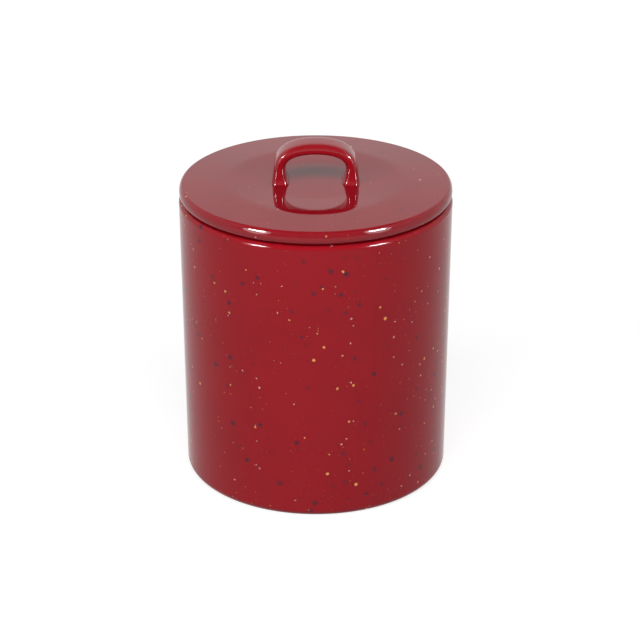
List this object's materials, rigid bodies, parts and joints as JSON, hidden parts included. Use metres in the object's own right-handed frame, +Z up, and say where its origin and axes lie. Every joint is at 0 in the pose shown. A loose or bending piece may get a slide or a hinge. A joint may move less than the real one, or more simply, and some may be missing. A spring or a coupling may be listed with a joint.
{
  "type": "lidded jar",
  "caption": "Round glazed stoneware jar with near-straight walls, a flat drop-in lid with a strap handle, and a soft sealing ring under the lid.",
  "frame": {"origin": "centre of the foot ring's flat face, on which the jar stands", "axes": "+Z up along the jar's axis; X along the handle's span, so its opening is seen along Y; -Y faces the picture's camera"},
  "size_m": [0.1398, 0.1398, 0.179],
  "materials": {
    "red_glaze": "gloss",
    "pale_silicone": "matte"
  },
  "bodies": {
    "jar": {"jar_body": "red_glaze"},
    "seal": {"lid_seal": "pale_silicone"},
    "lid": {"lid": "red_glaze", "lid_handle": "red_glaze"}
  },
  "joints": [
    {"name": "lid_lift", "type": "slide", "parent": "jar", "child": "seal", "axis": [0, 0, 1], "range_m": [0, 0.12]},
    {"name": "lid_turn", "type": "hinge", "parent": "seal", "child": "lid", "pos_m": [0, 0, 0.15], "axis": [0, 0, 1], "continuous": true}
  ]
}
